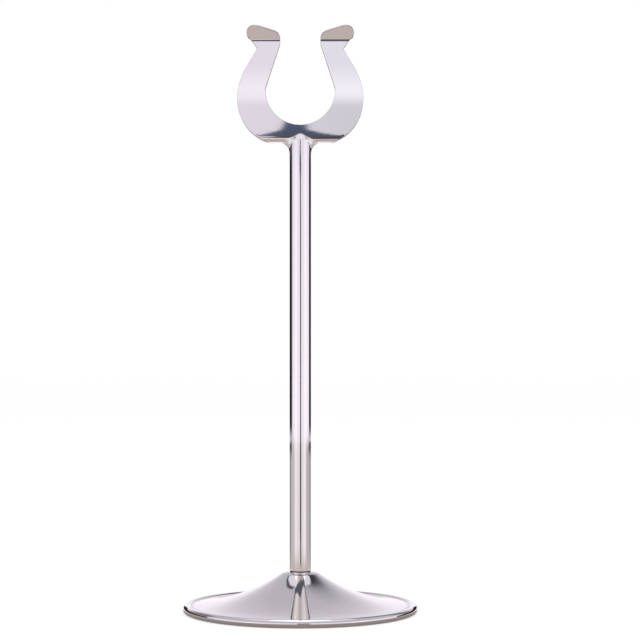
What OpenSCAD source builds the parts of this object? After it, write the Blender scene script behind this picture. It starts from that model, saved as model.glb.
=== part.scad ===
// Table number stand: a horseshoe card clip on a slim post over a trumpet-shaped base.
// It stands on the table: Z is up, the origin is the middle of the foot, and the clip
// faces the reader along -Y.

/* [Overall] */
// Height from the table to the tips of the clip
overall_h = 300; // [220:5:460]

/* [Base] */
// Diameter over the rolled rim
base_d = 120; // [100:1:150]
// Height of the flat seat that the post stands on
seat_h = 21; // [17:0.5:30]
// Width of the flat seat that shows around the tube
seat_margin = 0.2; // [0.2:0.1:2]
// Radius of the rounded shoulder around the seat
shoulder_r = 8; // [5:0.5:14]
// Outer radius of the rolled rim, which is half its height
rim_r = 2.2; // [1.9:0.1:3]
// Depth of the crease inside the rim, below the top of the rim
crease_depth = 0.7; // [0.5:0.1:1.2]
// Radius of the crease
crease_r = 1.2; // [0.8:0.1:3]
// Slope of the flare where it runs into the crease, in degrees
rim_slope = 5; // [3:0.5:8]
// Width of the hem that is turned under and rests on the table
hem_w = 4; // [2:0.5:8]
// Thickness of the spun sheet
base_t = 1; // [0.6:0.1:1.4]

/* [Post] */
// Outer diameter of the tube
post_d = 11; // [10:0.5:11.5]
// Wall of the tube
post_wall = 1; // [0.6:0.1:1.4]
// Chamfer on the outer edge of the tube's lower end
post_chamfer = 0.4; // [0.1:0.1:0.5]
// Length of the threaded plug in the tube's lower end
plug_len = 14; // [10:1:20]

/* [Clip] */
// Width over the horseshoe
clip_w = 64.4; // [60:0.2:72]
// Height from the bottom of the fold to the tips
clip_h = 60; // [57:0.5:66]
// Thickness of the folded sheet
clip_t = 1.2; // [0.8:0.1:1.4]
// Outer radius of the fold at the bottom
fold_r = 3.5; // [3:0.1:4.5]
// Gap between the two leaves where they grip the card
grip_gap = 0.3; // [0.2:0.1:0.8]
// Radius of the round opening in the horseshoe
eye_r = 17.8; // [15:0.2:19]
// Height of the opening's centre, as a share of the clip's height
eye_share = 0.45; // [0.43:0.005:0.5]
// Radius of the turn between the round opening and its straight edges
eye_turn_r = 6; // [3:0.5:12]
// Lean of the opening's straight edges from upright, in degrees
arm_lean = 18.3; // [15:0.1:20]
// Width of the gap between the tips, where the opening ends
mouth_w = 20.6; // [18:0.2:24]
// Height of the horseshoe's widest part, as a share of the clip's height
side_share = 0.368; // [0.34:0.004:0.4]
// How far the circle of the horseshoe's lower side would reach below the fold
low_drop = 0.9; // [0.4:0.1:4]
// Radius of the horseshoe's side above its widest part
high_r = 32; // [28:1:36]
// Lean of the horseshoe's straight outer edges from upright, in degrees
side_lean = 30; // [26:1:33]
// How far the notch under the tips lies below their top
notch_drop = 11.7; // [10:0.1:13]
// How far below their top the tips start to bend
tip_bend_drop = 7.8; // [6:0.2:9]
// Radius of the bend at the tips, on its inner side
tip_bend_r = 1.2; // [0.8:0.1:3]
// Angle that the tips are bent out by from upright, in degrees
tip_angle = 38; // [25:1:50]
// Radius of the round outer end of a tip
ear_r = 4.3; // [4:0.1:5]
// How far outside the notch the middle of that end lies
ear_lead = 1.1; // [0.2:0.1:2]
// Radius of the round inner end of a tip
brow_r = 5; // [4.6:0.2:6]

/* [Weld] */
// Radius of the dressed weld between the post and the fold
weld_r = 6; // [3:0.5:8]
// Height that the weld runs up the front and back of the fold
weld_rise = 4.5; // [4:0.1:6]

/* [Fastener] */
// Nominal diameter of the screw thread
screw_d = 5; // [4:1:6]
// Diameter of the screw head
head_d = 9.4; // [8:0.2:10]
// Height of the screw head
head_h = 3.6; // [2.5:0.1:5]
// Width of each slot of the cross recess
recess_w = 1; // [0.6:0.1:1.4]
// Thread length that enters the plug
screw_grip = 9; // [6:1:12]
// Outer diameter of the flat washer
washer_d = 10; // [9:0.2:10.4]
// Thickness of the flat washer
washer_t = 1; // [0.6:0.1:1.6]
// Outer diameter of the spring washer
spring_d = 9.2; // [8.4:0.2:10]
// Thickness of the spring washer
spring_t = 1.3; // [0.8:0.1:2]
// Width of the split in the spring washer
spring_split = 0.8; // [0.4:0.1:1.5]

/* [Hidden] */
$fn = 96;
over = 1;               // how far a cutter runs past the face that it opens
thread_clear = 0.05;    // gap all round the screw in the plug's thread
plug_clear = 0.05;      // gap all round the plug in the tube
hole_clear = 0.25;      // gap all round the screw in the base and the washers
dome_share = 0.65;      // share of the screw head's height that is domed
recess_span = 0.52;     // length of the recess, as a share of the head's diameter
recess_share = 0.55;    // depth of the recess, as a share of the head's height
steel = [0.78, 0.78, 0.8];

// The flare of the base is two arcs that meet with one slope. It leaves the seat level and
// arrives at the crease with rim_slope, which fixes its radius and the slope between them.
post_r = post_d / 2;
seat_r = post_r + seat_margin;
rim_c = [base_d / 2 - rim_r, rim_r];
crease_h = 2 * rim_r - crease_depth;
crease_rise = crease_h + crease_r - rim_r;
crease_run = sqrt(pow(crease_r + rim_r, 2) - pow(crease_rise, 2));
crease_angle = atan2(crease_run, crease_rise);
crease_c = [rim_c[0] - crease_run, crease_h + crease_r];
inward = [sin(rim_slope), cos(rim_slope)];
flare_end = crease_c - crease_r * inward;
flare_run = flare_end[0] - seat_r;
flare_drop = seat_h - flare_end[1];
flare_r = (pow(flare_run, 2) + pow(flare_drop, 2) - 2 * flare_drop * shoulder_r) / 2
        / (shoulder_r - flare_run * inward[0] + (flare_drop - shoulder_r) * inward[1]);
flare_c = flare_end + flare_r * inward;
flare_angle = asin((flare_c[0] - seat_r) / (flare_r + shoulder_r));
shoulder_c = [seat_r, seat_h - shoulder_r];

// The clip stands on the post, and the weld takes up the last stretch below the fold.
fold_z = overall_h - clip_h;
post_top = fold_z - weld_r;
bore_r = post_r - post_wall;
weld_lip = 1;           // height on the fold at which the weld starts to close in
weld_inset = 0.3;       // how far the weld's fillets stay inside the tube at front and back

// The washers hang under the seat, one below the other, and the screw head under them.
washer_z = seat_h - base_t - washer_t;
spring_z = washer_z - spring_t;

// Each leaf of the clip is bowed: upright where it leaves the fold, and leaning in by
// leaf_lean where it reaches the grip.
tip_bend_h = clip_h - tip_bend_drop;
grip_y = grip_gap / 2 + clip_t;
bow_rise = tip_bend_h - fold_r;
leaf_lean = 2 * atan((fold_r - grip_y) / bow_rise);
bow_r = bow_rise / sin(leaf_lean);

// The tips bend out about a line in front of the leaf.
bend_c = [-grip_y - tip_bend_r * cos(leaf_lean), tip_bend_h + tip_bend_r * sin(leaf_lean)];
bend_end = bend_c + tip_bend_r * [cos(tip_angle), sin(tip_angle)];
bend_top = bend_c[1] + (tip_bend_r + clip_t) * sin(tip_angle);
tip_len = (clip_h - bend_top) / cos(tip_angle);
tip_root = [2.2, 1.5];  // how far a tip's flat outline runs in and down across the bend
tip_inset = 0.75;       // how far its inner side steps in there
bend_share = 0.15;      // how much of the bend the front view leaves to the tips
front_top = bend_end[1] - bend_share;

// Places on the front view of the horseshoe, as (x, z) above the bottom of the fold.
half_w = clip_w / 2;
side_h = side_share * clip_h;
eye_h = eye_share * clip_h;
notch_h = clip_h - notch_drop;
low_r = side_h + low_drop;
low_c = [half_w - low_r, side_h];
high_c = [half_w - high_r, side_h];
high_end = high_c + high_r * [cos(side_lean), sin(side_lean)];
notch_x = high_end[0] - (notch_h - high_end[1]) * tan(side_lean);
eye_turn_c = [eye_r - eye_turn_r, eye_h];
eye_end = eye_turn_c + eye_turn_r * [cos(arm_lean), sin(arm_lean)];
neck_x = mouth_w / 2;
neck_h = eye_end[1] + (eye_end[0] - neck_x) / tan(arm_lean);

// The flat outline of a tip, as (x, v), where v is measured along the sheet from the end
// of the bend. A straight edge runs from the notch up to the foot of the ear.
ear_c = [notch_x + ear_lead, tip_len - ear_r];
ear_foot = [ear_c[0] + sqrt(ear_r * ear_r - ear_c[1] * ear_c[1]), 0];
brow_c = [neck_x + brow_r, 0];

// Points on an arc about a centre, from one angle to another.
function arc(c, r, from, to, n) =
    [for (i = [0 : n]) let (a = from + (to - from) * i / n) c + r * [cos(a), sin(a)]];

// The same points, seen in a mirror along the second axis.
function mirrored(points) = [for (i = [len(points) - 1 : -1 : 0]) [-points[i][0], points[i][1]]];

// Section of the spun sheet: along its upper side from the hole to the rim and the hem,
// and back along its lower side.
module base_section() {
    hole_r = screw_d / 2 + hole_clear;
    rim_from = 90 + crease_angle;
    flare_to = 270 - rim_slope;
    polygon(concat(
        [[hole_r, seat_h]],
        arc(shoulder_c, shoulder_r, 90, 90 - flare_angle, 8),
        arc(flare_c, flare_r, 271 - flare_angle, flare_to, 20),
        arc(crease_c, crease_r, flare_to + 8, 270 + crease_angle, 5),
        arc(rim_c, rim_r, rim_from - 7, 0, 17),
        arc(rim_c, rim_r, -8, -90, 11),
        [[rim_c[0] - hem_w, 0], [rim_c[0] - hem_w, base_t]],
        arc(rim_c, rim_r - base_t, -90, rim_from, 16),
        arc(crease_c, crease_r + base_t, 262 + crease_angle, flare_to, 6),
        arc(flare_c, flare_r + base_t, flare_to - 1, 270 - flare_angle, 20),
        arc(shoulder_c, shoulder_r - base_t, 94 - flare_angle, 90, 7),
        [[hole_r, seat_h - base_t]]));
}

module base() {
    color(steel) rotate_extrude($fn = 180) base_section();
}

module post() {
    color(steel) difference() {
        union() {
            translate([0, 0, seat_h])
                cylinder(h = post_chamfer, r1 = post_r - post_chamfer, r2 = post_r);
            translate([0, 0, seat_h + post_chamfer])
                cylinder(h = post_top - seat_h - post_chamfer, r = post_r);
        }
        translate([0, 0, seat_h - over])
            cylinder(h = post_top - seat_h + 2 * over, r = bore_r);
    }
}

// Side view of the folded sheet, as (y, z) points. The outer face runs up the front leaf
// and out along the tip, and the inner face comes back down inside it.
module clip_side() {
    bow_c = [bow_r - fold_r, fold_r];
    tip_edge = bend_end + (tip_len + over) * [-sin(tip_angle), cos(tip_angle)];
    leaf = concat(
        arc([0, fold_r], fold_r, 270, 180, 12),
        arc(bow_c, bow_r, 179, 180 - leaf_lean, 6),
        arc(bend_c, tip_bend_r, 4 - leaf_lean, tip_angle, 5),
        [tip_edge, tip_edge + clip_t * [cos(tip_angle), sin(tip_angle)]],
        arc(bend_c, tip_bend_r + clip_t, tip_angle, 4 - leaf_lean, 5),
        arc(bow_c, bow_r - clip_t, 180 - leaf_lean, 179, 6),
        arc([0, fold_r], fold_r - clip_t, 180, 270, 12));
    polygon(leaf);
    polygon(mirrored(leaf));
}

// Half of the horseshoe's front view, as (x, z) points, up to the middle of the bends.
function half_outline() = concat(
    [[0, -over], [low_c[0] + sqrt(low_r * low_r - side_h * side_h), -over]],
    arc(low_c, low_r, -asin(side_h / low_r), 0, 16),
    arc(high_c, high_r, 4, side_lean, 7),
    [[notch_x, notch_h], [ear_foot[0], front_top], [neck_x, front_top],
     [neck_x, neck_h]],
    arc(eye_turn_c, eye_turn_r, arm_lean, 0, 4),
    arc([0, eye_h], eye_r, -4, -90, 20));

// Flat outline of a tip: its two round ends, and straight lines between them.
module tip_outline() {
    rise = ear_c - brow_c;
    across = atan2(rise[1], rise[0]) + acos((brow_r - ear_r) / norm(rise));
    polygon(concat(
        [ear_foot - tip_root],
        arc(ear_c, ear_r, -asin(ear_c[1] / ear_r), across, 20),
        arc(brow_c, brow_r, across, 180, 10),
        [[neck_x + tip_inset, -tip_root[1]]]));
}

// Prism that cuts one tip out of the sheet: it stands square to the sheet beyond the bend.
module tip_cut() {
    behind = clip_t + grip_gap / 2;
    ahead = 2;
    translate([0, bend_end[0], bend_end[1]])
        rotate([90 + tip_angle, 0, 0])
            translate([0, 0, -behind])
                linear_extrude(behind + ahead) tip_outline();
}

module clip() {
    color(steel) translate([0, 0, fold_z]) intersection() {
        translate([-half_w, 0, 0])
            rotate([90, 0, 90]) linear_extrude(clip_w) clip_side();
        union() {
            rotate([90, 0, 0])
                linear_extrude(4 * fold_r, center = true)
                    polygon(concat(half_outline(), mirrored(half_outline())));
            for (side = [0, 1], leaf = [0, 1])
                mirror([side, 0, 0]) mirror([0, leaf, 0]) tip_cut();
        }
    }
}

// Front view of the weld, as (x, z): a round fillet on each side, and a peak on top.
module weld_front() {
    foot_x = post_r + weld_r;
    half = concat(
        [[0, post_top]],
        arc([foot_x, post_top], weld_r, 180, 90, 10),
        [[0, fold_z + weld_rise]]);
    polygon(concat(half, mirrored(half)));
}

// Side view of the weld, as (y, z): it closes on the fold at the top of its peak.
module weld_side() {
    lip_h = fold_z + weld_lip;
    reach = post_r + over;
    slope = (weld_rise - weld_lip) / (post_r - fold_r);
    half = [[0, post_top - over], [reach, post_top - over], [reach, lip_h - slope * over],
            [fold_r, fold_z + weld_rise], [fold_r, fold_z + weld_rise + over],
            [0, fold_z + weld_rise + over]];
    polygon(concat(half, mirrored(half)));
}

// Plan of the weld: round as the tube, with a pointed fillet on each side.
module weld_plan() {
    point_x = post_r + weld_r + over;
    half_y = post_r - weld_inset;
    lens_r = (pow(point_x, 2) + pow(half_y, 2)) / (2 * half_y);
    circle(post_r);
    intersection() {
        translate([0, lens_r - half_y]) circle(lens_r);
        translate([0, half_y - lens_r]) circle(lens_r);
    }
}

module weld_neck() {
    long = 4 * (post_r + weld_r);
    color(steel) difference() {
        intersection() {
            rotate([90, 0, 0]) linear_extrude(long, center = true) weld_front();
            rotate([90, 0, 90]) linear_extrude(long, center = true) weld_side();
            linear_extrude(overall_h) weld_plan();
        }
        translate([0, 0, fold_z + fold_r]) {
            rotate([0, 90, 0]) cylinder(h = long, r = fold_r, center = true);
            translate([-long / 2, -fold_r, 0]) cube([long, 2 * fold_r, weld_rise + over]);
        }
    }
}

module post_plug() {
    color(steel) translate([0, 0, seat_h]) difference() {
        cylinder(h = plug_len, r = bore_r - plug_clear);
        translate([0, 0, -over]) cylinder(h = plug_len + 2 * over, r = screw_d / 2);
    }
}

module flat_washer() {
    color(steel) translate([0, 0, washer_z]) difference() {
        cylinder(h = washer_t, r = washer_d / 2);
        translate([0, 0, -over])
            cylinder(h = washer_t + 2 * over, r = screw_d / 2 + hole_clear);
    }
}

module spring_washer() {
    color(steel) translate([0, 0, spring_z]) difference() {
        cylinder(h = spring_t, r = spring_d / 2);
        translate([0, 0, -over])
            cylinder(h = spring_t + 2 * over, r = screw_d / 2 + hole_clear);
        rotate([20, 0, 0]) translate([0, -spring_split / 2, -over])
            cube([spring_d, spring_split, spring_t + 4 * over]);
    }
}

// Pan head with a domed face and a cross recess, and a plain shank in place of its thread.
module base_screw() {
    dome_h = dome_share * head_h;
    dome_r = (pow(head_d / 2, 2) + pow(dome_h, 2)) / (2 * dome_h);
    recess_len = recess_span * head_d;
    recess_depth = recess_share * head_h;
    color(steel) translate([0, 0, spring_z]) difference() {
        union() {
            intersection() {
                translate([0, 0, -head_h]) cylinder(h = head_h, r = head_d / 2);
                translate([0, 0, dome_r - head_h]) sphere(dome_r);
            }
            cylinder(h = seat_h - spring_z + screw_grip, r = screw_d / 2 - thread_clear);
        }
        for (turn = [0, 90])
            rotate([0, 0, turn])
                translate([-recess_len / 2, -recess_w / 2, -head_h - over])
                    cube([recess_len, recess_w, recess_depth + over]);
    }
}

base();
post();
clip();
weld_neck();
post_plug();
flat_washer();
spring_washer();
base_screw();
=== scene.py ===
"""Looks of the table number stand: mirror polished steel in a plain white studio.

Sizes are in millimetres and follow part.scad, and meshes are scaled to metres when they are made.
"""

import math

import bpy
import numpy as np
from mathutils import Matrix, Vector
from mathutils.geometry import delaunay_2d_cdt


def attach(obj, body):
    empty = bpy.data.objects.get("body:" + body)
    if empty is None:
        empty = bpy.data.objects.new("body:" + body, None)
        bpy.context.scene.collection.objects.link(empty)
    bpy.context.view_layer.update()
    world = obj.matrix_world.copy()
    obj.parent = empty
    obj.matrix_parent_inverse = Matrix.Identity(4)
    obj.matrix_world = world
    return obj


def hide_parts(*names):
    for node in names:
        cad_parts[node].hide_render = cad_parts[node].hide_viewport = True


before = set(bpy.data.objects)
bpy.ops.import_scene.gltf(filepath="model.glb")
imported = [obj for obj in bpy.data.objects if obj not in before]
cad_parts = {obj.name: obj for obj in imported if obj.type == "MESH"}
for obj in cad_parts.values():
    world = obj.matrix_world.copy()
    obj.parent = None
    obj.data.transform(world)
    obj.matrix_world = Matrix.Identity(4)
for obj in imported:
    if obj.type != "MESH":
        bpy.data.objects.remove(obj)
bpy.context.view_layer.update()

MM = 0.001

# Sizes of the stand, as in part.scad.
OVERALL_H = 300.0
BASE_R, SEAT_H, SEAT_MARGIN, SHOULDER_R = 60.0, 21.0, 0.2, 8.0
RIM_R, CREASE_DEPTH, CREASE_R, RIM_SLOPE = 2.2, 0.7, 1.2, 5.0
HEM_W, BASE_T = 4.0, 1.0
POST_R, POST_WALL, POST_CHAMFER = 5.5, 1.0, 0.4
CLIP_W, CLIP_H, CLIP_T = 64.4, 60.0, 1.2
FOLD_R, GRIP_GAP = 3.5, 0.3
EYE_R, EYE_H, EYE_TURN_R, ARM_LEAN, MOUTH_W = 17.8, 27.0, 6.0, 18.3, 20.6
SIDE_H, LOW_R, HIGH_R, SIDE_LEAN = 22.08, 22.98, 32.0, 30.0
NOTCH_H, TIP_BEND_H, TIP_BEND_R, TIP_ANGLE = 48.3, 52.2, 1.2, 38.0
EAR_R, EAR_LEAD, BROW_R = 4.3, 1.1, 5.0
WELD_R, WELD_RISE = 6.0, 4.5
SCREW_D, HOLE_CLEAR = 5.0, 0.25
WASHER_D, WASHER_T = 10.0, 1.0

FOLD_Z = OVERALL_H - CLIP_H
POST_TOP = FOLD_Z - WELD_R
HALF_W = CLIP_W / 2
HALF_T = CLIP_T / 2
HOLE_R = SCREW_D / 2 + HOLE_CLEAR

# Radii to which edges are eased, which the solids leave sharp.
BASE_EDGE, POST_EDGE, CLIP_EDGE, WASHER_EDGE = 0.15, 0.02, 0.16, 0.12


def sind(a):
    """Sine of an angle in degrees."""
    return math.sin(math.radians(a))


def cosd(a):
    """Cosine of an angle in degrees."""
    return math.cos(math.radians(a))


def way(a):
    """Unit vector at an angle in degrees."""
    return np.array([cosd(a), sind(a)])


def arc(c, r, start, end, n, side=1):
    """Rows of a point on an arc and the normal there: outward for side 1, to the centre for -1."""
    t = np.radians(np.linspace(start, end, n + 1))
    d = np.stack([np.cos(t), np.sin(t)], 1)
    return np.hstack([np.asarray(c) + r * d, side * d])


def flat(points, normal):
    """Rows of points that share one normal."""
    return np.array([[*p, *normal] for p in points], float)


def new_mesh(name, points, faces, material):
    """A mesh of one material, from points in millimetres."""
    mesh = bpy.data.meshes.new(name)
    mesh.from_pydata((np.asarray(points, float) * MM).tolist(), [], [list(f) for f in faces])
    mesh.materials.append(material)
    return mesh


def new_object(name, data):
    """An object in the scene."""
    made = bpy.data.objects.new(name, data)
    bpy.context.scene.collection.objects.link(made)
    return made


def make_piece(name, points, faces, normals, material, node, slot="polished_steel"):
    """A smooth piece in place of a CAD node, from points in millimetres."""
    mesh = new_mesh(name, points, faces, material)
    mesh.polygons.foreach_set("use_smooth", [True] * len(mesh.polygons))
    mesh.normals_split_custom_set_from_vertices(np.asarray(normals).tolist())
    piece = new_object(name, mesh)
    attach(piece, "root")
    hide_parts(node)
    return piece


def grid_faces(rows, cols, close_rows=False):
    """Quads between rows of points that close on themselves along the columns."""
    i = np.arange(rows if close_rows else rows - 1)[:, None]
    j = np.arange(cols)[None, :]
    up, on = (i + 1) % rows, (j + 1) % cols
    quad = np.stack([i * cols + j, up * cols + j, up * cols + on, i * cols + on], -1)
    return quad.reshape(-1, 4)


def turned(across, along, steps):
    """Vectors with parts across and along the Z axis, one for each row, turned about that axis."""
    t = np.linspace(0, 2 * math.pi, steps, endpoint=False)
    x, y = np.outer(across, np.cos(t)), np.outer(across, np.sin(t))
    return np.stack([x, y, np.outer(along, np.ones(steps))], -1).reshape(-1, 3)


def lathe(rows, steps):
    """Points, faces and normals of a closed section turned about the Z axis."""
    rows = np.vstack(rows)
    points = turned(rows[:, 0], rows[:, 1], steps)
    normals = turned(rows[:, 2], rows[:, 3], steps)
    return points, grid_faces(len(rows), steps, True), normals


def crease_circle():
    """Centre of the crease's arc, which touches the rim's, and the angle where the two meet."""
    height = 2 * RIM_R - CREASE_DEPTH + CREASE_R
    rise = height - RIM_R
    run = math.sqrt((CREASE_R + RIM_R) ** 2 - rise**2)
    return np.array([BASE_R - RIM_R - run, height]), math.degrees(math.atan2(run, rise))


def flare_circle(crease_c):
    """Centre and radius of the flare's arc, and the angle where the shoulder's arc meets it."""
    seat_r = POST_R + SEAT_MARGIN
    inward = np.array([sind(RIM_SLOPE), cosd(RIM_SLOPE)])
    end = crease_c - CREASE_R * inward
    out, drop = end[0] - seat_r, SEAT_H - end[1]
    r = (out**2 + drop**2 - 2 * drop * SHOULDER_R) / 2
    r /= SHOULDER_R - out * inward[0] + (drop - SHOULDER_R) * inward[1]
    c = end + r * inward
    return c, r, math.degrees(math.asin((c[0] - seat_r) / (r + SHOULDER_R)))


def base_rows():
    """Section of the spun base, out along its upper side and back along its lower side."""
    crease_c, turn = crease_circle()
    flare_c, flare_r, lean = flare_circle(crease_c)
    rim_c = [BASE_R - RIM_R, RIM_R]
    shoulder_c = [POST_R + SEAT_MARGIN, SEAT_H - SHOULDER_R]
    hole_x, hem_x = HOLE_R + BASE_EDGE, BASE_R - RIM_R - HEM_W + BASE_EDGE
    last = 270 - RIM_SLOPE
    return [
        arc([hole_x, SEAT_H - BASE_EDGE], BASE_EDGE, 180, 90, 3),
        arc(shoulder_c, SHOULDER_R, 90, 90 - lean, 24),
        arc(flare_c, flare_r, 270 - lean, last, 56, -1)[1:],
        arc(crease_c, CREASE_R, last, 270 + turn, 12, -1)[1:],
        arc(rim_c, RIM_R, 90 + turn, -90, 44)[1:],
        arc([hem_x, BASE_EDGE], BASE_EDGE, 270, 180, 3),
        arc([hem_x, BASE_T - BASE_EDGE], BASE_EDGE, 180, 90, 3),
        arc(rim_c, RIM_R - BASE_T, -90, 90 + turn, 30, -1),
        arc(crease_c, CREASE_R + BASE_T, 270 + turn, last, 10)[1:],
        arc(flare_c, flare_r + BASE_T, last, 270 - lean, 40)[1:],
        arc(shoulder_c, SHOULDER_R - BASE_T, 90 - lean, 90, 16, -1)[1:],
        arc([hole_x, SEAT_H - BASE_T + BASE_EDGE], BASE_EDGE, 270, 180, 3),
    ]


def post_rows():
    """Section of the tube: up its bore, and down its outside to the chamfer."""
    bore_r, chamfer_r, edge = POST_R - POST_WALL, POST_R - POST_CHAMFER, POST_EDGE
    low = SEAT_H + POST_CHAMFER
    slope = [sind(45), -cosd(45)]
    return [
        flat([[bore_r, SEAT_H + edge], [bore_r, POST_TOP - edge]], [-1, 0]),
        flat([[bore_r + edge, POST_TOP], [POST_R - edge, POST_TOP]], [0, 1]),
        flat([[POST_R, z] for z in np.linspace(POST_TOP - edge, low + 2 * edge, 60)], [1, 0]),
        flat([[POST_R - edge, low - edge], [chamfer_r + edge, SEAT_H + edge]], slope),
        flat([[chamfer_r - edge, SEAT_H], [bore_r + edge, SEAT_H]], [0, -1]),
    ]


def washer_rows():
    """Section of the flat washer under the seat."""
    edge = WASHER_EDGE
    high = SEAT_H - BASE_T
    low = high - WASHER_T
    inner, outer = HOLE_R + edge, WASHER_D / 2 - edge
    return [
        arc([inner, high - edge], edge, 180, 90, 3),
        arc([outer, high - edge], edge, 90, 0, 3),
        arc([outer, low + edge], edge, 0, -90, 3),
        arc([inner, low + edge], edge, 270, 180, 3),
    ]


# Side view of the folded sheet. S is a length along its middle, from the bottom of the fold.
GRIP_Y = GRIP_GAP / 2 + CLIP_T
BOW_RISE = TIP_BEND_H - FOLD_R
LEAN = 2 * math.atan((FOLD_R - GRIP_Y) / BOW_RISE)
BOW_R = BOW_RISE / math.sin(LEAN)
TIP = math.radians(TIP_ANGLE)
BEND_Y = -GRIP_Y - TIP_BEND_R * math.cos(LEAN)
BEND_Z = TIP_BEND_H + TIP_BEND_R * math.sin(LEAN)
FOLD_MID, BOW_MID, BEND_MID = FOLD_R - HALF_T, BOW_R - HALF_T, TIP_BEND_R + HALF_T
S_FOLD = FOLD_MID * math.pi / 2
S_BOW = S_FOLD + BOW_MID * LEAN
S_BEND = S_BOW + BEND_MID * (TIP + LEAN)
BEND_END_Z = BEND_Z + TIP_BEND_R * math.sin(TIP)
TIP_LEN = (CLIP_H - BEND_Z - (TIP_BEND_R + CLIP_T) * math.sin(TIP)) / math.cos(TIP)

# The clip's mesh: steps along its outline, how far corners are eased, and the points between.
OUTLINE_STEP, OUTLINE_BLUR = 0.24, 0.3
FILL_STEP, FILL_CLEAR = 1.4, 0.5
EDGE_TURNS = 5


def sheet_line(s):
    """Middle of the folded sheet at length s: y, z above the fold, and the outward normal."""
    a = np.abs(s)
    fold, bow = a / FOLD_MID, (a - S_FOLD) / BOW_MID
    bend = np.minimum((a - S_BOW) / BEND_MID - LEAN, TIP)
    past = np.maximum(a - S_BEND, 0)
    zones = [a <= S_FOLD, a <= S_BOW]
    y = np.select(
        zones,
        [-FOLD_MID * np.sin(fold), BOW_R - FOLD_R - BOW_MID * np.cos(bow)],
        BEND_Y + BEND_MID * np.cos(bend) - past * np.sin(bend),
    )
    z = np.select(
        zones,
        [FOLD_R - FOLD_MID * np.cos(fold), FOLD_R + BOW_MID * np.sin(bow)],
        BEND_Z + BEND_MID * np.sin(bend) + past * np.cos(bend),
    )
    ny = np.select(zones, [-np.sin(fold), -np.cos(bow)], -np.cos(bend))
    nz = np.select(zones, [-np.cos(fold), np.sin(bow)], -np.sin(bend))
    front = np.where(np.asarray(s) < 0, -1.0, 1.0)
    return y * front, z, ny * front, nz


def length_at(z):
    """Length along the sheet at which its outer face has the height z."""
    z = np.asarray(z, float)
    fold = FOLD_MID * np.arccos(np.clip(1 - z / FOLD_R, -1, 1))
    bow = S_FOLD + BOW_MID * np.arcsin(np.clip((z - FOLD_R) / BOW_R, -1, 1))
    turn = np.arcsin(np.clip((z - BEND_Z) / TIP_BEND_R, -1, 1))
    bend = S_BOW + BEND_MID * (turn + LEAN)
    return np.select([z <= FOLD_R, z <= TIP_BEND_H], [fold, bow], bend)


def outer_side():
    """The right side seen from the front, as (x, z) from the fold up to the tip's bend."""
    low_c, high_c = [HALF_W - LOW_R, SIDE_H], [HALF_W - HIGH_R, SIDE_H]
    high_end = np.array(high_c) + HIGH_R * way(SIDE_LEAN)
    notch_x = high_end[0] - (NOTCH_H - high_end[1]) * math.tan(math.radians(SIDE_LEAN))
    ear_c = np.array([notch_x + EAR_LEAD, TIP_LEN - EAR_R])
    ear_foot = ear_c[0] + math.sqrt(EAR_R**2 - ear_c[1] ** 2)
    low = arc(low_c, LOW_R, -math.degrees(math.asin(SIDE_H / LOW_R)), 0, 400)[:, :2]
    high = arc(high_c, HIGH_R, 0, SIDE_LEAN, 60)[1:, :2]
    notch = np.linspace([notch_x, NOTCH_H], [ear_foot, BEND_END_Z], 40)
    return np.vstack([low, high, notch]), ear_c


def tip_side(ear_c):
    """The flat tip's outline, as (x, length past the bend) round its ear and down its brow."""
    brow_c = np.array([MOUTH_W / 2 + BROW_R, 0.0])
    rise = ear_c - brow_c
    across = math.degrees(math.atan2(rise[1], rise[0]))
    across += math.degrees(math.acos((BROW_R - EAR_R) / np.linalg.norm(rise)))
    ear = arc(ear_c, EAR_R, -math.degrees(math.asin(ear_c[1] / EAR_R)), across, 60)[:, :2]
    brow = arc(brow_c, BROW_R, across, 180, 40)[:, :2]
    return np.vstack([ear, brow])


def inner_side():
    """The opening's right side seen from the front, as (x, z) from the tip's bend down the eye."""
    neck_x = MOUTH_W / 2
    eye_end = np.array([EYE_R - EYE_TURN_R, EYE_H]) + EYE_TURN_R * way(ARM_LEAN)
    neck_h = eye_end[1] + (eye_end[0] - neck_x) / math.tan(math.radians(ARM_LEAN))
    neck = np.linspace([neck_x, BEND_END_Z], [neck_x, neck_h], 20)
    lean = np.linspace([neck_x, neck_h], eye_end, 60)
    turn = arc([EYE_R - EYE_TURN_R, EYE_H], EYE_TURN_R, ARM_LEAN, 0, 12)[1:, :2]
    eye = arc([0, EYE_H], EYE_R, 0, -90, 120)[1:, :2]
    return np.vstack([neck, lean, turn, eye])


def quarter_outline():
    """A quarter of the blank's outline as (x, s), from the fold up the outside and back down."""
    outer, ear_c = outer_side()
    inner = inner_side()
    flat_outer = np.stack([outer[:, 0], length_at(outer[:, 1])], 1)
    flat_inner = np.stack([inner[:, 0], length_at(inner[:, 1])], 1)
    return np.vstack([flat_outer, tip_side(ear_c) + [0, S_BEND], flat_inner])


def even_loop(points, step):
    """The closed line through the points again, at even steps."""
    ring = np.vstack([points, points[:1]])
    run = np.hstack([0, np.cumsum(np.linalg.norm(np.diff(ring, axis=0), axis=1))])
    count = int(round(run[-1] / step / 4)) * 4
    at = np.arange(count) * run[-1] / count
    return np.stack([np.interp(at, run, ring[:, k]) for k in (0, 1)], 1), run[-1] / count


def smooth_loop(points, step, blur):
    """The closed line with its corners eased over the blur length, and its outward normals."""
    wave = np.fft.fftfreq(len(points), step)
    soft = np.exp(-2 * (math.pi * wave * blur) ** 2)
    spectrum = np.fft.fft(points[:, 0] + 1j * points[:, 1]) * soft
    line = np.fft.ifft(spectrum)
    slope = np.fft.ifft(spectrum * 2j * math.pi * wave)
    out = -1j * slope / np.abs(slope)
    return np.stack([line.real, line.imag], 1), np.stack([out.real, out.imag], 1)


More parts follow.
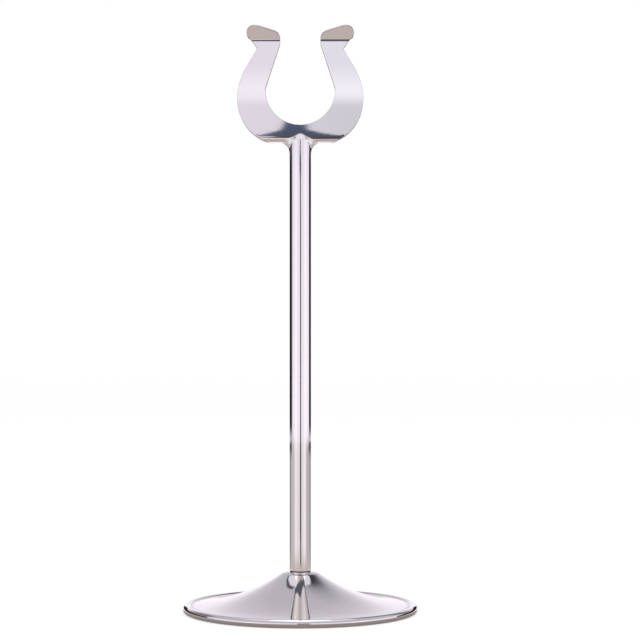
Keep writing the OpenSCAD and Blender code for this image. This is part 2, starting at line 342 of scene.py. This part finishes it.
def blank_outline():
    """The whole outline of the blank, counterclockwise in (x, s), and its outward normals."""
    part = quarter_outline()
    left = (part * [-1, 1])[::-1]
    rear_left = part * [-1, -1]
    rear_right = (part * [1, -1])[::-1]
    loop = np.vstack([part, left[1:], rear_left[1:], rear_right[1:-1]])
    keep = np.linalg.norm(loop - np.roll(loop, 1, 0), axis=1) > 1e-6
    points, step = even_loop(loop[keep], OUTLINE_STEP)
    return smooth_loop(points, step, OUTLINE_BLUR)


def inside(points, loop):
    """Which points lie inside the closed line."""
    a, b = loop, np.roll(loop, -1, 0)
    px, py = points[:, :1], points[:, 1:]
    spans = (a[:, 1] > py) != (b[:, 1] > py)
    with np.errstate(divide="ignore", invalid="ignore"):
        cross = a[:, 0] + (py - a[:, 1]) * (b[:, 0] - a[:, 0]) / (b[:, 1] - a[:, 1])
    return (spans & (px < cross)).sum(1) % 2 == 1


def fill_points(loop):
    """Points over the blank, closer together along the sheet where it bends."""
    fold_end, bow_end, bend_end = S_FOLD + 1, S_BOW - 0.5, S_BEND + 0.5
    fold = np.linspace(0, fold_end, 22)
    bow = np.linspace(fold_end, bow_end, 30)[1:]
    bend = np.linspace(bow_end, bend_end, 14)[1:]
    tip = np.linspace(bend_end, S_BEND + TIP_LEN, 8)[1:]
    level = np.hstack([fold, bow, bend, tip])
    level = np.hstack([-level[:0:-1], level])
    x = np.arange(-HALF_W, HALF_W + 0.1, FILL_STEP)
    points = np.stack(np.meshgrid(x, level), -1).reshape(-1, 2)
    points = points[inside(points, loop)]
    near = np.array([np.min(np.hypot(*(loop - p).T)) for p in points])
    return points[near > FILL_CLEAR]


def sheet_points(flat_points, depth):
    """Points of the sheet over (x, s), at a depth outward from its middle."""
    y, z, ny, nz = sheet_line(flat_points[:, 1])
    return np.stack([flat_points[:, 0], y + depth * ny, FOLD_Z + z + depth * nz], 1)


def sheet_normals(flat_points, across, outward):
    """Normals with a share across the sheet's edge and a share out of its face."""
    _, _, ny, nz = sheet_line(flat_points[:, 1])
    face = np.stack([np.zeros(len(ny)), ny, nz], 1)
    along = np.stack([np.zeros(len(ny)), nz, -ny], 1)
    edge = across[:, :1] * [1.0, 0.0, 0.0] + across[:, 1:] * along
    return edge * math.sqrt(1 - outward**2) + face * outward


def edge_ring():
    """The sheet's rounded edge: rows of inset, depth, and the normal's share out of the face."""
    ring = []
    for a in np.linspace(90, 0, EDGE_TURNS + 1):
        inset, sink = CLIP_EDGE * (1 - cosd(a)), CLIP_EDGE * (1 - sind(a))
        ring.append((inset, HALF_T - sink, sind(a)))
    return ring + [(inset, -depth, -lift) for inset, depth, lift in ring[::-1]]


def build_clip():
    """The folded sheet with its rounded edges, and which of its faces are the cut edge."""
    loop, out = blank_outline()
    n, ring = len(loop), edge_ring()
    points = [sheet_points(loop - out * inset, depth) for inset, depth, _ in ring]
    normals = [sheet_normals(loop - out * inset, out, lift) for inset, _, lift in ring]
    faces = grid_faces(len(ring), n).tolist()
    inner = loop - out * CLIP_EDGE
    extra = fill_points(inner)
    edges = [(i, (i + 1) % n) for i in range(n)]
    made = delaunay_2d_cdt([Vector(p) for p in np.vstack([inner, extra])], edges, [], 1, 1e-7)
    spot = [o[0] for o in made[3]]
    start, last = n * len(ring), n * (len(ring) - 1)
    for side, first in ((1.0, 0), (-1.0, last)):
        where = np.hstack([first + np.arange(n), start + np.arange(len(extra))])
        points.append(sheet_points(extra, side * HALF_T))
        normals.append(sheet_normals(extra, np.zeros((len(extra), 2)), side))
        for f in made[2]:
            tri = [int(where[spot[v]]) for v in f]
            faces.append(tri if side > 0 else tri[::-1])
        start += len(extra)
    cut = [n <= k < n * (len(ring) - 2) for k in range(len(faces))]
    return np.vstack(points), faces, np.vstack(normals), cut


def mark_painted_shade(piece, share):
    """Stores painted shade on a piece, as a share for each of its points."""
    points = np.array([v.co for v in piece.data.vertices]) / MM
    mark = piece.data.attributes.new("painted_shade", "FLOAT", "POINT")
    mark.data.foreach_set("value", share(points))


def seat_shade_share(points):
    """Painted shade on the chamfer at the tube's lower end, where it stands on the seat."""
    return (points[:, 2] < SEAT_H + POST_CHAMFER - 0.01).astype(float)


def rim_crease_shade_share(points):
    """Painted shade in the crease in the base's upper side: how close points are to it, from 0 to
    0.4.
    """
    middle, half_width, most, upper_side = BASE_R - 4.5, 0.8, 0.4, 3.4
    off = (np.hypot(points[:, 0], points[:, 1]) - middle) / half_width
    return most * np.exp(-(off**4)) * (points[:, 2] > upper_side)


def bend_shade_share(points):
    """Painted shade along the bend lines of the clip's tips: how close points are to them, from 0
    to 1.
    """
    middle, half_width = FOLD_Z + TIP_BEND_H + 0.1, 0.34
    off = (points[:, 2] - middle) / half_width
    return np.exp(-(off**4)) * (np.abs(points[:, 1]) > GRIP_Y - HALF_T)


def finish_clip(piece, cut, edge_material):
    """Gives the sheet's cut edges their own finish, and marks painted shade along the tips' bends.
    """
    piece.data.materials.append(edge_material)
    piece.data.polygons.foreach_set("material_index", [int(c) for c in cut])
    mark_painted_shade(piece, bend_shade_share)


# The weld blends a cone on the tube with the round underside of the fold.
FEATHER = 0.05
CRISP_R = 0.5
PEAK_FROM = FOLD_Z + 1.6
PEAK_TOP = FOLD_Z + WELD_RISE
PEAK_CURVE = 1.05
FOLD_AXIS = FOLD_Z + FOLD_R
CORE_Z = FOLD_Z - 2
HALVINGS = 46


def fold_distance(p):
    """How far points are outside the outer face of the folded sheet."""
    below = np.hypot(p[..., 1], p[..., 2] - FOLD_AXIS) - FOLD_R
    beside = np.abs(p[..., 1]) - FOLD_R
    return np.where(p[..., 2] < FOLD_AXIS, below, beside)


def dome_distance(p):
    """How far points are outside the tube, which closes in on the fold as a blunt cone."""
    rise = np.clip((p[..., 2] - PEAK_FROM) / (PEAK_TOP - PEAK_FROM), 0, 1.6)
    radius = POST_R + FEATHER - (POST_R - FOLD_R + FEATHER) * rise**PEAK_CURVE
    return np.hypot(p[..., 0], p[..., 1]) - radius


def weld_distance(p):
    """The two together, with a wide fillet at the sides and a crisp foot at front and back."""
    a, b = dome_distance(p), fold_distance(p)
    side = p[..., 0] ** 2 / (p[..., 0] ** 2 + p[..., 1] ** 2 + 1e-9)
    k = CRISP_R + (WELD_R - CRISP_R) * side**4
    h = np.clip(1 - np.abs(a - b) / k, 0, 1)
    return np.minimum(a, b) - h * h * k / 4 + FEATHER


def weld_hit(theta, rise):
    """Where rays from inside the weld leave it."""
    start = np.array([0.0, 0.0, CORE_Z])
    level = np.cos(rise)
    d = np.stack([level * np.cos(theta), level * np.sin(theta), np.sin(rise)], -1)
    near, far = np.full(theta.shape, 1.0), np.full(theta.shape, 14.0)
    for _ in range(HALVINGS):
        mid = (near + far) / 2
        out = weld_distance(start + d * mid[..., None]) > 0
        near, far = np.where(out, near, mid), np.where(out, mid, far)
    return start + d * near[..., None]


def weld_normals(p):
    """Direction in which the blended distance grows."""
    shift = np.eye(3) * 1e-3
    g = np.stack([weld_distance(p + s) - weld_distance(p - s) for s in shift], -1)
    return g / np.linalg.norm(g, axis=-1, keepdims=True)


def weld_wall(theta, rows):
    """The weld's outside from the tube's end to where it sinks into the fold, and its normals."""
    steps = len(theta)
    low = np.full(steps, -math.atan2(CORE_Z - POST_TOP, POST_R))
    above, sunk_at = low.copy(), np.full(steps, math.radians(75))
    for _ in range(HALVINGS):
        mid = (above + sunk_at) / 2
        sunk = fold_distance(weld_hit(theta, mid)) < -0.8 * FEATHER
        above, sunk_at = np.where(sunk, above, mid), np.where(sunk, mid, sunk_at)
    t = np.linspace(0, 1, rows)[:, None]
    wall = weld_hit(np.broadcast_to(theta, (rows, steps)), low + (above - low) * t)
    normals = weld_normals(wall)
    around = np.stack([np.cos(theta), np.sin(theta), np.zeros(steps)], 1)
    wall[0] = POST_R * around + [0, 0, POST_TOP]
    normals[0] = around
    return wall, normals


def weld_cap(rim):
    """Rings that close the weld inside the fold's sheet."""
    above = rim[:, 2] > FOLD_AXIS
    around = np.arctan2(np.abs(rim[:, 1]), FOLD_AXIS - rim[:, 2]) * FOLD_MID
    s = np.where(above, S_FOLD + rim[:, 2] - FOLD_AXIS, around) * -np.sign(rim[:, 1] - 1e-9)
    line = np.stack([rim[:, 0], s], 1)
    return [sheet_points(line * k, HALF_T - 0.1) for k in (0.98, 0.7, 0.4, 0.02)]


def build_weld(steps=240, rows=56):
    """The dressed weld as one closed solid, from the tube's end to inside the fold's sheet."""
    theta = np.linspace(0, 2 * math.pi, steps, endpoint=False)
    wall, wall_n = weld_wall(theta, rows)
    floor = [wall[0] * [k, k, 1] for k in (0.02, 0.5, 0.995)]
    cap = weld_cap(wall[-1])
    points = np.vstack([*floor, wall.reshape(-1, 3), *cap])
    down = np.tile([0.0, 0.0, -1.0], (steps * len(floor), 1))
    up = np.tile([0.0, 0.0, 1.0], (steps * len(cap), 1))
    normals = np.vstack([down, wall_n.reshape(-1, 3), up])
    total = len(floor) + rows + len(cap)
    faces = [f[::-1] for f in grid_faces(total, steps).tolist()]
    faces.append(list(range(steps))[::-1])
    faces.append([(total - 1) * steps + j for j in range(steps)])
    return points, faces, normals


# Colours of the steel, and of the painted shade laid into its creases and at the tube's foot.
CHROME = (0.78, 0.765, 0.79)
CUT_STEEL = (0.44, 0.43, 0.43)
PLATED = (0.66, 0.65, 0.62)
PAINTED_SHADE = (0.035, 0.033, 0.035, 1)
WHITE = (1, 1, 1, 1)


class Nodes:
    """Short ways to build a node tree. Inputs are sockets to link or values to set."""

    def __init__(self, owner):
        owner.use_nodes = True
        self.tree = owner.node_tree
        self.tree.nodes.clear()

    def add(self, kind, inputs, **settings):
        """Adds a node and returns its outputs."""
        node = self.tree.nodes.new(kind)
        for key, value in settings.items():
            setattr(node, key, value)
        for key, source in inputs.items():
            if isinstance(source, bpy.types.NodeSocket):
                self.tree.links.new(source, node.inputs[key])
            else:
                node.inputs[key].default_value = source
        return node.outputs

    def maths(self, operation, *values):
        """Result of a sum with the values."""
        return self.add("ShaderNodeMath", dict(enumerate(values)), operation=operation)[0]

    def noise(self, place, scale, detail, rough):
        """Noise from 0 to 1 at a place."""
        inputs = {"Vector": place, "Scale": scale, "Detail": detail, "Roughness": rough}
        return self.add("ShaderNodeTexNoise", inputs)[0]

    def spread(self, value, low, high, to_low, to_high):
        """The value with low to high laid over to_low to to_high."""
        inputs = {"Value": value, "From Min": low, "From Max": high}
        return self.add("ShaderNodeMapRange", {**inputs, "To Min": to_low, "To Max": to_high})[0]

    def mix(self, share, colour, other):
        """A colour with a share of another one."""
        return self.add("ShaderNodeMix", {0: share, 6: colour, 7: other}, data_type="RGBA")[2]

    def bump(self, height, distance, **normal):
        """Normal of a surface with a bump, its distance in metres."""
        inputs = {"Height": height, "Strength": 1.0, "Distance": distance, **normal}
        return self.add("ShaderNodeBump", inputs)[0]

    def mark(self, name, output):
        """A value or colour that is stored on the mesh."""
        return self.add("ShaderNodeAttribute", {}, attribute_name=name)[output]

    def glow(self, colour):
        """Light of a colour at a strength of 1."""
        return self.add("ShaderNodeEmission", {"Color": colour, "Strength": 1.0})[0]

    def mix_shaders(self, share, one, other):
        """A shader with a share of another one."""
        return self.add("ShaderNodeMixShader", {0: share, 1: one, 2: other})[0]

    def finish(self, surface, kind="ShaderNodeOutputMaterial"):
        """Shows the surface."""
        self.add(kind, {"Surface": surface})


def steel(name, colour, rough, grain, wave=1.0, with_painted_shade=False):
    """Polished steel with a faint polishing grain, soft waves, small rubbed spots, and painted
    shade where the mesh marks it.
    """
    material = bpy.data.materials.new(name)
    n = Nodes(material)
    place = n.add("ShaderNodeTexCoord", {})["Object"]
    grained = n.add("ShaderNodeMapping", {"Vector": place, "Scale": grain})[0]
    fine = n.noise(grained, 22.0, 6.0, 0.7)
    soft = n.noise(place, 70.0, 2.0, 0.4)
    spots = n.noise(place, 900.0, 8.0, 0.75)
    polish = n.spread(fine, 0.3, 0.75, rough * 0.75, rough * 1.5)
    gloss = n.maths("ADD", polish, n.spread(spots, 0.62, 0.8, 0.0, 0.06))
    light = [min(1, c * 1.015) for c in colour]
    paint = n.mix(soft, (*[c * 0.985 for c in colour], 1), (*light, 1))
    swell = n.bump(soft, 0.012 * MM * wave)
    grit = n.bump(fine, 0.0006 * MM, Normal=swell)
    # Painted shade: near-black laid over the steel, with a little more roughness, where the mesh's
    # share marks creases and the tube's foot.
    if with_painted_shade:
        share = n.maths("MULTIPLY", n.mark("painted_shade", "Fac"), 0.93)
        paint = n.mix(share, paint, PAINTED_SHADE)
        gloss = n.maths("MULTIPLY_ADD", share, 0.3, gloss)
    inputs = {"Base Color": paint, "Roughness": gloss, "Normal": grit, "Metallic": 1.0}
    n.finish(n.add("ShaderNodeBsdfPrincipled", inputs)[0])
    return material


def painted_light():
    """Light of the studio's cards, as painted on their points for one and for two reflections."""
    material = bpy.data.materials.new("painted_light")
    n = Nodes(material)
    depth = n.add("ShaderNodeLightPath", {})["Glossy Depth"]
    once, twice = n.glow(n.mark("light", "Color")), n.glow(n.mark("light_again", "Color"))
    n.finish(n.mix_shaders(n.maths("GREATER_THAN", depth, 1.5), once, twice))
    return material


def card(name, points, faces, once, twice, material):
    """A painted card of the studio, from points in millimetres, that shows only in reflections."""
    mesh = new_mesh(name, points, faces, material)
    for layer, colours in (("light", once), ("light_again", twice)):
        paint = mesh.color_attributes.new(layer, "FLOAT_COLOR", "POINT")
        rgba = np.hstack([colours, np.ones((len(points), 1))])
        paint.data.foreach_set("color", rgba.ravel())
    made = new_object(name, mesh)
    made.visible_camera = False
    made.visible_diffuse = False
    made.visible_shadow = False


def make_world():
    """Even white light, which is also the background."""
    world = bpy.data.worlds.new("studio")
    bpy.context.scene.world = world
    n = Nodes(world)
    white = n.add("ShaderNodeBackground", {"Color": WHITE, "Strength": 1.0})[0]
    n.finish(white, "ShaderNodeOutputWorld")


def make_floor():
    """A white floor that keeps the stand's shadow."""
    material = bpy.data.materials.new("floor")
    n = Nodes(material)
    path = n.add("ShaderNodeLightPath", {})
    seen = n.maths("MAXIMUM", path["Is Camera Ray"], path["Is Glossy Ray"])
    seen = n.maths("MAXIMUM", seen, path["Is Transmission Ray"])
    matte = n.add("ShaderNodeBsdfDiffuse", {"Color": (0.97, 0.97, 0.97, 1)})[0]
    n.finish(n.mix_shaders(n.maths("MULTIPLY", seen, 0.7), matte, n.glow(WHITE)))
    half = 4000
    corners = [(-half, -half, 0), (half, -half, 0), (half, half, 0), (-half, half, 0)]
    new_object("floor", new_mesh("floor", corners, [range(4)], material))


def make_lamp():
    """A large soft lamp above the stand, a little towards the camera."""
    data = bpy.data.lights.new("softbox", "AREA")
    data.shape = "RECTANGLE"
    data.size, data.size_y = 1.4, 1.4
    data.energy = 7.0
    lamp = new_object("softbox", data)
    lamp.location = (0.1, -0.2, 1.5)
    lamp.rotation_euler = (math.radians(-8), 0, 0)


# What the steel reflects: a light tent round the stand, and two cards beside the camera. Azimuths
# are in degrees from the camera's side and grow to its right, elevations are above the table, and
# radii are from the stand. Each list holds places and values, with straight lines between them.
TENT_R = 1500
TENT_STEP = 0.75
TABLE_Z = 0.1
TABLE_RADII = [
    58.5, 61, 63, 66, 71, 76, 86, 100, 128, 150, 180, 200, 230, 270, 330, 430, 600, 900,
    1200, 1260, 1320, 1380, 1440, TENT_R,
]
WALL_RISES = [0.1, 0.3, 0.7, *range(1, 81)]

# The wall's brightness by elevation, and how it gets bright towards its open top.
CLOSED_WALL = [
    (0, 1.1), (12, 1.02), (15, 0.95), (18, 0.86), (21, 0.79), (24, 0.73), (28, 0.68), (34, 0.64),
    (42, 0.6), (58, 0.59),
]
OPEN_TOP = [(62, 0.9), (66, 1.0)]
WALL_TINT = [1.0, 0.955, 1.01]

# Elevation of the opening's lower edge behind the stand, by azimuth, and a dark smudge there.
LEFT_EDGE = [
    (136, 49), (140, 52), (143, 54.2), (147, 57), (152, 60), (158, 61), (162, 62.3), (168, 64),
]
RIGHT_EDGE = [(140, 60.5), (158, 61.3), (162, 63.5), (170, 65)]
SMUDGE = [(148, 1), (152, 0.85), (157, 0.5), (161, 0.32), (166, 0.16), (173, 0)]

# The wall after two reflections: brightness below and above a dark band, and the band's edges.
AGAIN_BELOW = [
    (-158, 1.0), (-150, 0.05), (-126, 0.05), (-118, 0.35), (-110, 0.55), (-100, 0.68),
    (-85, 0.82), (-70, 1.06), (-55, 1.1), (-38, 0.88), (-25, 0.86), (-10, 0.64), (3, 0.6),
    (15, 0.78), (30, 0.86), (42, 0.96), (58, 1.08), (72, 0.86), (95, 0.76), (118, 0.6),
    (128, 0.05), (150, 0.05), (158, 1.0),
]
AGAIN_ABOVE = [(-130, 1.1), (-50, 0.85), (-15, 0.72), (0, 0.58), (120, 0.6), (165, 1.1)]
BAND_LOW = [
    (-130, 56), (-100, 57.5), (-55, 58.5), (-30, 56.5), (-10, 54.5), (4, 53.5), (20, 57.5),
    (40, 62), (60, 64), (90, 65), (125, 63),
]
BAND_HIGH = [(-130, 63), (-100, 65), (-70, 67.5), (-40, 69), (-15, 70), (3, 71), (120, 70.5)]
BAND_COLOUR = [0.13, 0.14, 0.165]

# The table's brightness: by azimuth far from the foot, and by radius close to it.
FAR_TABLE = [
    (-172, 1.05), (-164, 0.44), (-118, 0.38), (-98, 0.72), (-78, 0.62), (-64, 0.8), (-50, 1.12),
    (-28, 0.93), (28, 0.93), (48, 1.14), (62, 0.95), (76, 0.55), (90, 0.55), (100, 0.64),
    (116, 0.42), (164, 0.46), (172, 1.05),
]
NEAR_TABLE = [(60, 0.28), (64, 0.34), (76, 0.44), (100, 0.57), (150, 0.6)]
NEAR_TINT, FAR_TINT = [1.07, 0.93, 0.87], [1.0, 0.955, 0.95]
STREAK_COLOUR = [0.085, 0.08, 0.09]

# Outline of the dark shape beside the camera, and the height above which it is slate.
CAMERA_SIDE = [
    (-30, 0), (-42, 250), (-70, 295), (-160, 305), (-150, 322), (-53, 338), (-41, 347),
    (-30, 356), (-25, 385), (-4, 385), (-3, 357), (11, 347), (30, 338), (130, 322), (215, 305),
    (130, 295), (180, 250), (190, 0),
]
SLATE_FROM = 300
SLATE, NEUTRAL = [0.08, 0.105, 0.167], [0.11, 0.105, 0.12]
CAMERA_SIDE_Y, ABOVE_CAMERA_Y = -1085.0, -1090.0


def curve(value, knots):
    """Value on the straight lines between knots of a place and its value."""
    return np.interp(value, *zip(*knots))


def ramp(value, low, high):
    """0 below low and 1 above high, with a soft way between."""
    t = np.clip((value - low) / (high - low), 0, 1)
    return t * t * (3 - 2 * t)


def window(value, low, high, soft):
    """1 between low and high, with soft sides."""
    return ramp(value, low - soft, low + soft) * (1 - ramp(value, high - soft, high + soft))


def blend(colour, other, share):
    """A colour with a share of another one at each point."""
    share = np.asarray(share)[:, None]
    return np.asarray(colour) * (1 - share) + np.asarray(other) * share


def behind_opening(azimuth, elevation):
    """Share of the wall's back at each point, lower edge of its opening, and share of that."""
    side = np.abs(azimuth)
    edge = np.where(azimuth > 0, curve(side, RIGHT_EDGE), curve(side, LEFT_EDGE))
    return ramp(side, 126, 138), edge, ramp(elevation, edge - 0.8, edge + 0.8)


def wall_level(azimuth, elevation):
    """Brightness of the wall: darker with height, up to its opening."""
    level = curve(elevation, CLOSED_WALL + OPEN_TOP)
    low = 1 - ramp(elevation, 13, 18)
    for middle, width in ((-46, 13), (58, 16)):
        level = level + 0.22 * low * np.exp(-(((azimuth - middle) / width) ** 2))
    level = level * (1 - 0.3 * low * window(azimuth, -100, -90, 5))
    behind, _, opened = behind_opening(azimuth, elevation)
    back = curve(elevation, CLOSED_WALL)
    back = back + (0.88 - back) * opened
    return level + (back - level) * behind * ramp(elevation, 28, 34)


def dark_shapes(azimuth, elevation):
    """Flags at the wall's sides and marks behind: for each a share at every point and a colour."""
    side, right = np.abs(azimuth), azimuth > 0
    behind, edge, opened = behind_opening(azimuth, elevation)
    flag = window(side, np.where(right, 107, 100), 165, 1.5)
    flag = flag * ramp(elevation, 0, 0.6) * (1 - ramp(elevation, 13.5, 15.5))
    tall = 0.7 * window(side, np.where(right, 122, 104), 146, 2.5)
    tall = tall * ramp(elevation, 12, 16) * (1 - ramp(elevation, 34, 44))
    line = window(elevation, edge - 3.4, edge, 0.9) * behind * (1 - ramp(side, 164, 170))
    smudge = curve(side - 0.5 * np.maximum(elevation - 52, 0), SMUDGE)
    smudge = smudge * ramp(elevation, 22, 53) * (1 - opened) * behind
    return [
        (flag, [0.024, 0.018, 0.018]),
        (tall, [0.03, 0.028, 0.035]),
        (np.where(right, 0, line), [0.06, 0.065, 0.08]),
        (np.where(right, smudge, 0), [0.05, 0.055, 0.07]),
    ]


def wall_light(azimuth, elevation):
    """Colour of the wall as the steel shows it."""
    colour = wall_level(azimuth, elevation)[:, None] * WALL_TINT
    for share, dark in dark_shapes(azimuth, elevation):
        colour = blend(colour, dark, share)
    return colour


def wall_again(azimuth, elevation):
    """Colour of the wall after two reflections, as in the image of the tube on the base."""
    low_edge, high_edge = curve(azimuth, BAND_LOW), curve(azimuth, BAND_HIGH)
    level = curve(azimuth, AGAIN_BELOW)
    above = curve(azimuth, AGAIN_ABOVE)
    level = level + (above - level) * ramp(elevation, high_edge - 1, high_edge + 1)
    tint = blend([1.07, 0.99, 0.94], [1.1, 1.07, 1.12], ramp(np.abs(azimuth), 150, 160))
    band = window(elevation, low_edge, high_edge, 1.2)
    colour = blend(level[:, None] * tint, BAND_COLOUR, band)
    return blend(wall_light(azimuth, elevation), colour, ramp(elevation, 15, 20))


def table_light(azimuth, radius):
    """Colour of the table as the steel shows it: darker close to the foot and at the sides."""
    side = np.abs(azimuth)
    far = curve(azimuth, FAR_TABLE)
    far = far * (1 - 0.93 * ramp(radius, 1200, 1420) * window(side, 100, 165, 1.5))
    near = curve(radius, NEAR_TABLE)
    far_share = ramp(radius, 150, 330)
    level = near + (far - near) * far_share
    level = np.where(side > 168, np.maximum(level, 1.05 * ramp(radius, 90, 150)), level)
    level = level + (1.0 - level) * ramp(side, 90, 105) * (1 - ramp(radius, 150, 200))
    colour = level[:, None] * blend(NEAR_TINT, FAR_TINT, far_share)
    streak = window(azimuth, -1, 11, 1.5) * ramp(radius, 190, 230)
    streak = np.maximum(streak, window(azimuth, -3.5, 0, 0.8) * ramp(radius, 330, 400))
    return blend(colour, STREAK_COLOUR, streak)


def make_tent(material):
    """The light tent: a table round the foot, and a wall that bends in over the stand."""
    azimuth = np.arange(-180, 180, TENT_STEP)
    t, one = np.radians(azimuth), np.ones(len(azimuth))
    rings = [(r, TABLE_Z) for r in TABLE_RADII]
    rings += [(TENT_R * cosd(e), TENT_R * sind(e)) for e in WALL_RISES]
    points = [np.stack([r * np.sin(t), -r * np.cos(t), z * one], 1) for r, z in rings]
    table = [table_light(azimuth, r * one) for r in TABLE_RADII]
    once = np.vstack(table + [wall_light(azimuth, e * one) for e in WALL_RISES])
    twice = np.vstack(table + [wall_again(azimuth, e * one) for e in WALL_RISES])
    faces = grid_faces(len(rings), len(azimuth))
    card("light_tent", np.vstack(points), faces, once, twice, material)


def make_camera_side(material):
    """The dark shape beside the camera."""
    points = [(x, CAMERA_SIDE_Y, z) for x, z in CAMERA_SIDE]
    colours = np.array([SLATE if z > SLATE_FROM else NEUTRAL for _, z in CAMERA_SIDE])
    card("camera_side", points, [range(len(points))], colours, colours, material)


def make_above_camera(material):
    """A pale card above the camera with a soft edge, brighter above it."""
    xs = np.linspace(-95, 80, 8)
    zs = np.array([300, 335, 380, 424, 436, 448, 460, 470, 490, 525, 560, 600, 660])
    x, z = (v.ravel() for v in np.meshgrid(xs, zs))
    right = ramp(x, -60, 40)
    below = 0.92 - 0.14 * right
    above = curve(z, [(490, 1.12), (560, 0.96), (660, 0.96)])
    level = below + (above - below) * ramp(z, 424, 470)
    tint = np.stack([np.ones(len(x)), 0.945 + 0.035 * right, 1.02 + 0.02 * right], 1)
    points = np.stack([x, np.full(len(x), ABOVE_CAMERA_Y), z], 1)
    i, j = (v.ravel() for v in np.meshgrid(np.arange(len(zs) - 1), np.arange(len(xs) - 1)))
    corner = i * len(xs) + j
    faces = np.stack([corner, corner + 1, corner + 1 + len(xs), corner + len(xs)], 1)
    twice = np.tile([0.66, 0.6, 0.57], (len(x), 1))
    card("above_camera", points, faces, level[:, None] * tint, twice, material)


# The photograph's camera: its focal length and width in pixels, and its place in millimetres.
FOCAL_PX, WIDTH_PX = 2110, 640
CAMERA_AT = Vector((10.08, -1080.0, 149.5))


def make_camera():
    """Level and square to the stand, as in the photograph."""
    data = bpy.data.cameras.new("camera")
    data.sensor_width = 36.0
    data.lens = FOCAL_PX / WIDTH_PX * data.sensor_width
    data.clip_start, data.clip_end = 0.01, 20
    camera = new_object("camera", data)
    camera.location = CAMERA_AT * MM
    camera.rotation_euler = (math.radians(90), 0, 0)
    bpy.context.scene.camera = camera


def make_stand():
    """Every piece of the stand. The fasteners keep their solids and get a material."""
    # The base, tube and sheet get painted shade in their creases and at the tube's foot.
    base_steel = steel("polished_base", CHROME, 0.05, (60, 60, 60), with_painted_shade=True)
    post_steel = steel("polished_tube", CHROME, 0.05, (220, 220, 8), 0.6, with_painted_shade=True)
    clip_steel = steel("polished_sheet", CHROME, 0.03, (160, 160, 14), 0.35, with_painted_shade=True)
    edge_steel = steel("cut_edge", CUT_STEEL, 0.36, (300, 300, 300), 2.0)
    weld_steel = steel("polished_weld", CHROME, 0.08, (120, 120, 120), 2.0)
    plated = steel("plated_steel", PLATED, 0.22, (200, 200, 200))
    base = make_piece("base_shell", *lathe(base_rows(), 288), base_steel, "base")
    mark_painted_shade(base, rim_crease_shade_share)
    post = make_piece("post_tube", *lathe(post_rows(), 192), post_steel, "post")
    mark_painted_shade(post, seat_shade_share)
    *sheet, cut = build_clip()
    finish_clip(make_piece("clip_sheet", *sheet, clip_steel, "clip"), cut, edge_steel)
    make_piece("weld_blend", *build_weld(), weld_steel, "weld_neck")
    make_piece("seat_washer", *lathe(washer_rows(), 96), plated, "flat_washer", "plated_steel")
    for node in ("post_plug", "spring_washer", "base_screw"):
        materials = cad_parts[node].data.materials
        materials.clear()
        materials.append(plated)


def make_studio():
    """Background, floor, lamp, what the steel reflects, and the camera."""
    make_world()
    make_floor()
    make_lamp()
    cards = painted_light()
    make_tent(cards)
    make_camera_side(cards)
    make_above_camera(cards)
    make_camera()


bpy.context.scene.view_settings.view_transform = "Standard"
make_stand()
make_studio()
bpy.context.view_layer.update()
